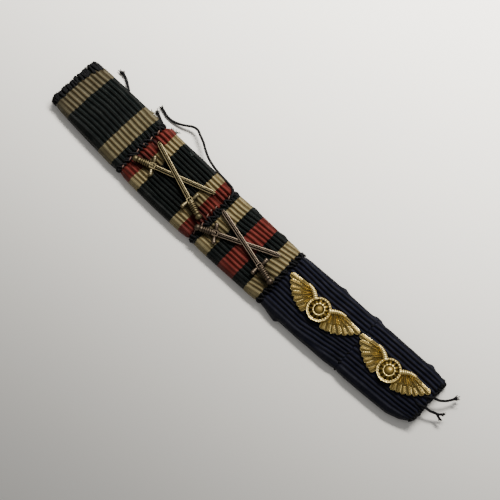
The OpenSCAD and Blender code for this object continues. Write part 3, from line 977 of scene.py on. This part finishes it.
def makeMetal(name, group, bright, body, tarnish, share, smooth):
    material, tree, shader = newMaterial(name)
    worn = addNode(tree, "ShaderNodeGroup", {
        "Place": newValue(tree, "ShaderNodeTexCoord", output="Object"), "Hollow": readMark(tree, "hollow"),
        "Dull": readMark(tree, "dull"), "Bright": bright, "Body": body, "Tarnish": tarnish,
        "Tarnish Share": share, "Smooth": smooth}, node_tree=group).outputs
    wireUp(tree, shader, {"Base Color": worn["Color"], "Roughness": worn["Roughness"], "Metallic": 1,
                          "Normal": addBump(tree, worn["Height"], 0.03 * mm)})
    return material


# Swords as the solids have them, with the finer forms of blade, guard and hilt
sword = dict(length=23.6, hilt=5.75, bladeWide=1.25, bladeThick=0.8, grip=1.5, pommel=1.8, guard=5.8,
             guardThick=0.8, tilt=19, lift=0.4, crossAt=0.446, rings=7, wire=0.34, curl=20, tip=1.0,
             knob=0.75, block=0.7, blockRise=0.2, gripSlim=0.78, ringSlim=0.8, gripSwell=0.14,
             guardSwell=[(0, 0.85), (0.25, 0.7), (0.6, 1.2), (0.85, 1.4), (1, 1.2)],
             collar=[(-0.25, 0.5), (-0.2, 0.78), (0, 0.82), (0.2, 0.7), (0.25, 0.45)])

# Each pair: ribbon, share of its width, share of the height above the middle, turn, slide of its lower sword,
# and how far before the guard the tarnish of its hilts begins
swordPlaces = {"swords_a": (1, 0.47, 0.035, 1, -0.02, -0.4), "swords_b": (2, 0.47, -0.006, 5, 0.026, 1.4)}

# Half of the blade's section, as shares of its half width and thickness: two fullers beside a ridge
bladeShape = [(-1, 0), (-1, 0.42), (-0.92, 0.62), (-0.66, 0.64), (-0.55, 0.4), (-0.33, 0.4), (-0.2, 0.84),
              (0, 0.95), (0.2, 0.84), (0.33, 0.4), (0.55, 0.4), (0.66, 0.64), (0.92, 0.62), (1, 0.42), (1, 0)]

guardAtX = sword["length"] - sword["hilt"]
gripLong = sword["hilt"] - sword["pommel"]
gripAxis = 0.3 * sword["grip"]


def swordSpot(node):
    ribbon, share, up, turn, slide = swordPlaces[node][:5]
    return seamX[ribbon] + share * ribbonWides[ribbon], up * bar["height"], turn, slide


# The lower sword is turned about and slid along its length
def swordStart(upper, slide):
    return sword["length"] * ((0 if upper else slide) - sword["crossAt"])


# Of flat points about a pair's middle: how far along one of its swords and how far to its side
def alongSword(x, y, upper, turn=0):
    way = math.radians((-sword["tilt"] if upper else 180 + sword["tilt"]) + turn)
    return x * math.cos(way) + y * math.sin(way), y * math.cos(way) - x * math.sin(way)


def bladePart():
    tip = sword["tip"] * sword["bladeWide"]
    rings = []
    for x in np.concatenate([tip * np.linspace(0, 1, 12) ** 1.6, np.linspace(tip, guardAtX, 30)[1:]]):
        wide = sword["bladeWide"] / 2 * max(min(x / tip, 1) ** 0.5, 0.04)
        high = sword["bladeThick"] * (0.45 + 0.55 * min(x / tip, 1))
        rings.append([(x, wide * y, high * z) for y, z in bladeShape])
    return loftRings(rings)


# A form turned about the X axis and pressed flat where it would pass below z = 0
def turnedPart(profile, axisZ, steps=20):
    angles = circle(steps)
    rings = []
    for x, r in profile:
        z = r * np.sin(angles)
        z = np.where(z < 0, z * min(1, axisZ / max(r, 1e-6)), z)
        rings.append(np.stack([np.full(steps, x), r * np.cos(angles), axisZ + z], -1))
    return loftRings(rings)


# A tube along a line of points with its own radius at each
def tubePart(line, radii, steps=12):
    along = np.gradient(line, axis=0)
    along /= np.linalg.norm(along, axis=1, keepdims=True)
    side = np.cross(along, (0, 0, 1))
    side /= np.linalg.norm(side, axis=1, keepdims=True)
    angles = circle(steps)[None, :, None]
    around = side[:, None] * np.cos(angles) + np.cross(side, along)[:, None] * np.sin(angles)
    rings = line[:, None] + radii[:, None, None] * around
    rings[..., 2] = np.maximum(rings[..., 2], 0)
    return loftRings(rings)


def ballPart(place, radius, steps=14):
    angles = np.linspace(-math.pi / 2, math.pi / 2, 9)
    profile = [(place[0] + radius * math.sin(a), max(radius * math.cos(a), 0.02 * radius)) for a in angles]
    points, faces = turnedPart(profile, place[2], steps)
    points[:, 1] += place[1]
    points[:, 2] = np.maximum(points[:, 2], 0)
    return points, faces


# The guard's middle: a square block with a bevelled and sunk top
def blockPart(atX, half, top, round=0.25):
    rings = []
    steps = ((0, 0), (top - round, 0), (top, 0.6 * round), (top, 1.3 * round), (top - 0.3, 1.9 * round))
    for z, inset in steps:
        reach = half - inset
        rings.append([(atX + sx * reach, sy * reach, z) for sx, sy in ((1, 1), (-1, 1), (-1, -1), (1, -1))])
    return loftRings(rings)


def guardParts():
    thick = sword["guardThick"]
    knob = sword["knob"] * thick
    bend = (sword["guard"] / 2 - knob) / math.sin(math.radians(sword["curl"]))
    angles = np.linspace(0, math.radians(sword["curl"]), 14)
    radii = thick / 2 * fromTable(sword["guardSwell"], np.linspace(0, 1, 14))
    parts = [blockPart(guardAtX, sword["block"] * sword["bladeWide"], thick + sword["blockRise"])]
    for side in (1, -1):
        x, y = side * (bend * np.cos(angles) - bend) + guardAtX, side * bend * np.sin(angles)
        line = np.stack([x, y, np.full(14, thick / 2)], -1)
        parts += [tubePart(line, radii), ballPart(line[-1], knob)]
    return parts


def gripRadius(slim, t):
    return sword["grip"] / 2 * (slim + sword["gripSwell"] * np.sin(math.pi * t))


def hiltParts():
    core = [(guardAtX + gripLong * t, gripRadius(sword["gripSlim"], t)) for t in np.linspace(0, 1, 14)]
    r = sword["pommel"] / 2
    ball = [(sword["length"] - r + r * math.sin(a), max(r * math.cos(a), 0.03))
            for a in np.linspace(-1.2, math.pi / 2, 14)]
    collar = [(guardAtX + gripLong + x, radius) for x, radius in sword["collar"]]
    return [turnedPart(profile, gripAxis) for profile in (core, ball, collar)]


# One wire ring of the grip, about the X axis at unit radius and pressed flatter below, for the repeat tree
def makeWireRing(around=20, sides=8):
    points = []
    for a in circle(around):
        for b in circle(sides):
            r = 1 + sword["wire"] * math.cos(b)
            z = r * math.sin(a)
            points.append((sword["wire"] * math.sin(b), r * math.cos(a), z if z > 0 else z * 0.6))
    faces = [tuple(v % len(points) for v in face) for face in ringFaces(around + 1, sides)]
    return newSolid("wireRing", points, turnOver(faces), reach=1e-5)


# Puts flat parts on the front of the bar, turned with its bow
def placeOnFront(points, x, y=0, turn=0):
    turned = turnZ(np.asarray(points, float), math.degrees(float(bowAngle(x))) + turn)
    return turned * mm + onBar(x, y, faceHeight + bar["deviceGap"])


# How dull each point is: hilts are tarnished, and past the crossing the lower sword has painted shade
dulling = dict(before=1.5, behind=0.3, behindOver=3, wide=3.2, side=1.3, crossing=4)


def markDull(part, node):
    x, y, turn, _ = swordSpot(node)
    flat = readPoints(part.data) - onBar(x, y, faceHeight + bar["deviceGap"])
    flat = turnZ(flat, -math.degrees(float(bowAngle(x))) - turn) / mm
    dullFrom = sword["length"] * (1 - sword["crossAt"]) - sword["hilt"] - swordPlaces[node][5]
    dull = []
    for upper, behind in ((True, 0), (False, dulling["behind"])):
        t, side = alongSword(flat[:, 0], flat[:, 1], upper)
        # Painted shade: the lower sword darkens from the crossing towards its hilt
        share = behind * shareOf(t, 0, dulling["behindOver"])
        share = share + (1 - behind) * shareOf(t, dullFrom, dulling["before"])
        dull.append(share * np.clip(dulling["side"] - np.abs(side) / dulling["wide"], 0, 1))
    onUpper = shareOf(flat[:, 2] - sword["lift"], 0.1, 0.2)
    onUpper = onUpper * (np.abs(flat[:, 0]) < dulling["crossing"])
    storeValues(part.data, "dull", np.maximum(dull[0], dull[1] * (1 - onUpper)))


# Points with their own turn and size, for the repeat tree
def repeatPart(name, part, points, turns, sizes, material, spread, seed):
    spots = newMesh(name + "Spots", points, [])
    storeValues(spots, "turn", turns)
    storeValues(spots, "size", np.asarray(sizes) * mm)
    values = {"Object": part, "Spread": spread, "Seed": seed, "Material": material}
    return applyTree(name, spots, repeatTree, values)


def dressMetal(parts):
    for part in parts:
        markHollows(part.data)
        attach(part, "root")


def addSwords(node, material, ring):
    points, faces = joinParts([bladePart(), *guardParts(), *hiltParts()])
    x, y, turn, slide = swordSpot(node)
    share = (np.arange(sword["rings"]) + 0.5) / sword["rings"]
    rings = np.stack([guardAtX + gripLong * share, 0 * share, 0 * share + gripAxis], -1)
    ringSizes = gripRadius(sword["ringSlim"], share)
    spots, turns, bodies = [], [], []
    for upper in (False, True):
        tilt = -sword["tilt"] if upper else 180 + sword["tilt"]
        shift, lift = np.array([swordStart(upper, slide), 0, 0]), np.array([0, 0, sword["lift"] * upper])
        bodyPoints, ringPoints = [placeOnFront(turnZ(part + shift, tilt) + lift, x, y, turn)
                                  for part in (points, rings)]
        along = ringPoints[-1] - ringPoints[0]
        bodies.append((bodyPoints, faces))
        spots.append(ringPoints)
        turns += [(0, 0, math.atan2(along[1], along[0]))] * len(rings)
    sizes = np.repeat(np.tile(ringSizes, 2)[:, None], 3, 1)
    wires = repeatPart(node + "Wires", ring, np.concatenate(spots), turns, sizes, material, 0.03, 3)
    closeMesh(wires.data)
    body = newSolid(node + "Metal", *joinParts(bodies), material)
    dressMetal((body, wires))
    for part in (body, wires):
        markDull(part, node)
    body.data.set_sharp_from_angle(angle=math.radians(38))
    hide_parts(node)


# Winged devices as the solids have them; rows are count, length, share of it at the inner end, and layer
wings = dict(span=23.8, gap=0.3, boss=6.6, plate=0.5, step=0.2, feather=1.5, long=0.51, shift=-0.04, seam=4,
             rows=[(7, 0.51, 0.7, 0), (6, 0.2448, 0.75, 2)], down=4, fan=68, root=0.25, beads=26, bead=0.3,
             petals=12, armOut=0.42, armIn=(0.38, 0.12), armFrom=0.36, armPast=0.6, armLow=0.2, armRise=0.3,
             notches=9, notchDeep=0.14, armRadii=[(0, 0.75), (0.5, 0.62), (1, 0.3)])
wingTop = wings["plate"] + 4 * wings["step"]


# A feather of unit length and width: domed vane, raised shaft and slanting barbs
vane = dict(along=46, across=16, root=0.55, grows=0.45, fullAt=0.35, tipFrom=0.86, tipOver=0.14, barbs=11,
            slant=1.6, dome=0.45, cut=0.16, cutOver=0.2, rim=0.97, shaft=0.28, shaftWide=0.11, thinner=0.6)


def makeFeather():
    points, along, across = [], vane["along"], vane["across"]
    for t in np.linspace(0, 1, along + 1).tolist():
        tip = math.sqrt(max(1 - max((t - vane["tipFrom"]) / vane["tipOver"], 0) ** 2, 0.002))
        wide = 0.5 * (vane["root"] + vane["grows"] * min(t / vane["fullAt"], 1)) * tip
        for v in np.linspace(-1, 1, across + 1).tolist():
            barb = 0.5 + 0.5 * math.sin(2 * math.pi * (t * vane["barbs"] - vane["slant"] * abs(v)))
            cut = vane["cut"] * barb * (1 - math.exp(-(v / vane["cutOver"]) ** 2)) * (abs(v) < vane["rim"])
            shaft = vane["shaft"] * math.exp(-(v / vane["shaftWide"]) ** 2) * (1 - vane["thinner"] * t)
            points.append((t, wide * v, 1 - vane["dome"] * v * v - cut + shaft))
    top, row = len(points), across + 1
    points += [(x, y, 0) for x, y, _ in points]
    faces = []
    for k in range(along):
        for a in range(k * row, k * row + across):
            faces.append((a, a + row, a + row + 1, a + 1))
            faces.append((a + top, a + 1 + top, a + row + 1 + top, a + row + top))
    rim = [*range(across), *range(across, top - 1, row)]
    rim += [*range(top - 1, along * row, -1), *range(along * row, 0, -row)]
    faces += [(a, b, b + top, a + top) for a, b in zip(rim, rim[1:] + rim[:1])]
    return newSolid("feather", points, faces, reach=1e-5)


def makeBead():
    profile = [(-math.cos(a), max(math.sin(a), 0.02)) for a in np.linspace(0, math.pi, 7)]
    return newSolid("bead", *turnedPart(profile, 0.0001, 10), reach=1e-5)


def featherSpots(side):
    spots, turns, sizes = [], [], []
    half, boss, root = wings["span"] / 2, wings["boss"], wings["root"] * wings["feather"]
    armOut = np.array([(1 - wings["long"]) * half, wings["armOut"] * boss])
    armIn = np.array(wings["armIn"]) * boss
    for count, long, short, layer in wings["rows"]:
        for k in range(count):
            inwards = k / (count - 1)
            x, y = armOut + (armIn - armOut) * inwards
            angle = math.radians(-wings["down"] - wings["fan"] * inwards)
            length = long * half * (1 - (1 - short) * inwards)
            spots.append((side * (x - root * math.cos(angle)), y - root * math.sin(angle), 0))
            turns.append(angle if side > 0 else math.pi - angle)
            sizes.append((length + root, wings["feather"], wings["plate"] + wings["step"] * (layer + k % 2)))
    return spots, turns, sizes


# Boss with a groove for the beads, a ring of petals and a round middle: height from the top, radius
def bossPart(steps=72):
    r = wings["boss"] / 2
    profile = [(-wingTop, r), (-0.25, r), (-0.1, r - 0.08), (-0.1, r - 0.12), (-0.35, r - 0.72),
               (-0.4, r - 0.8), (-0.1, 0.52 * r), (0.02, 0.46 * r), (0, 0.42 * r), (-0.15, 0.38 * r),
               (-0.1, 0.3 * r), (0.02, 0.2 * r), (0.08, 0.1 * r), (0.1, 0.01)]
    angles = circle(steps)
    rings = []
    for z, radius in profile:
        petal = 0.07 * np.cos(wings["petals"] * angles) * (0.48 * r < radius < r - 0.6)
        rings.append(np.stack([radius * np.cos(angles), radius * np.sin(angles), wingTop + z + petal], -1))
    return loftRings(rings)


# The wing's leading edge: a notched, rounded arm from the boss to the outer feathers
def armPart(side, steps=64):
    half, boss = wings["span"] / 2, wings["boss"]
    t = np.linspace(0, 1, steps)
    start = wings["armFrom"] * boss
    x = start + ((1 - wings["long"]) * half + wings["armPast"] - start) * t
    y = wings["armLow"] * boss + wings["armRise"] * boss * np.sin(0.5 * math.pi * t) ** 0.8
    line = np.stack([side * x, y, np.full(steps, wings["plate"] + 2 * wings["step"])], -1)
    notches = 1 - wings["notchDeep"] + wings["notchDeep"] * np.abs(np.sin(math.pi * wings["notches"] * t))
    return tubePart(line, notches * fromTable(wings["armRadii"], t))


def addWings(node, side, material, feather, bead):
    x = seamX[wings["seam"]] + wings["shift"] * bar["ribbonWide"] + side * (wings["span"] + wings["gap"]) / 2
    spots, turns, sizes = [first + second for first, second in zip(featherSpots(1), featherSpots(-1))]
    turns = [(0, 0, turn + float(bowAngle(x))) for turn in turns]
    feathers = repeatPart(node + "Feathers", feather, placeOnFront(spots, x), turns, sizes, material, 0.0, 5)
    angles = circle(wings["beads"])
    r = wings["boss"] / 2 - 0.42
    spots = np.stack([r * np.cos(angles), r * np.sin(angles), np.full_like(angles, wingTop - 0.2)], -1)
    beads = repeatPart(node + "Beads", bead, placeOnFront(spots, x), np.zeros_like(spots),
                       np.full_like(spots, wings["bead"]), material, 0.06, 6)
    points, faces = joinParts([bossPart(), armPart(1), armPart(-1)])
    body = newSolid(node + "Boss", placeOnFront(points, x), faces, material)
    dressMetal((feathers, beads, body))
    for part, degrees in ((body, 38), (feathers, 50)):
        part.data.set_sharp_from_angle(angle=math.radians(degrees))
    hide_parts(node)


# Metals: bright where rubbed, body, tarnish, its share and how smooth
metals = dict(paleBrass=(tone(124, 113, 84), tone(80, 70, 46), tone(16, 13, 6), 0.33, 0.36),
              darkBronze=(tone(112, 99, 85), tone(64, 54, 43), tone(14, 11, 9), 0.37, 0.38),
              brightGilt=(tone(232, 208, 136), tone(134, 111, 54), tone(22, 16, 5), 0.44, 0.27))


def addDevices():
    group = makeMetalGroup()
    brass, bronze, gilt = [makeMetal(name, group, *values) for name, values in metals.items()]
    ring, feather, bead = makeWireRing(), makeFeather(), makeBead()
    addSwords("swords_a", brass, ring)
    addSwords("swords_b", bronze, ring)
    addWings("wings_a", -1, gilt, feather, bead)
    addWings("wings_b", 1, gilt, feather, bead)
    for pattern in (ring, feather, bead):
        bpy.data.objects.remove(pattern)
    print("devices made")


addCamera()
addLights()
addFloor()
print("camera, lights and floor made")
clothGroup = makeClothGroup()
threadTree, repeatTree = makeThreadTree(), makeRepeatTree()
addRibbons(addBacking(), makeRibTree(), clothGroup)
black = makeThreadMaterial("blackThread", tone(7, 7, 8), tone(30, 29, 31))
addStitches(black)
addTrimmings(black)
addLooseEnds(black)
addDevices()
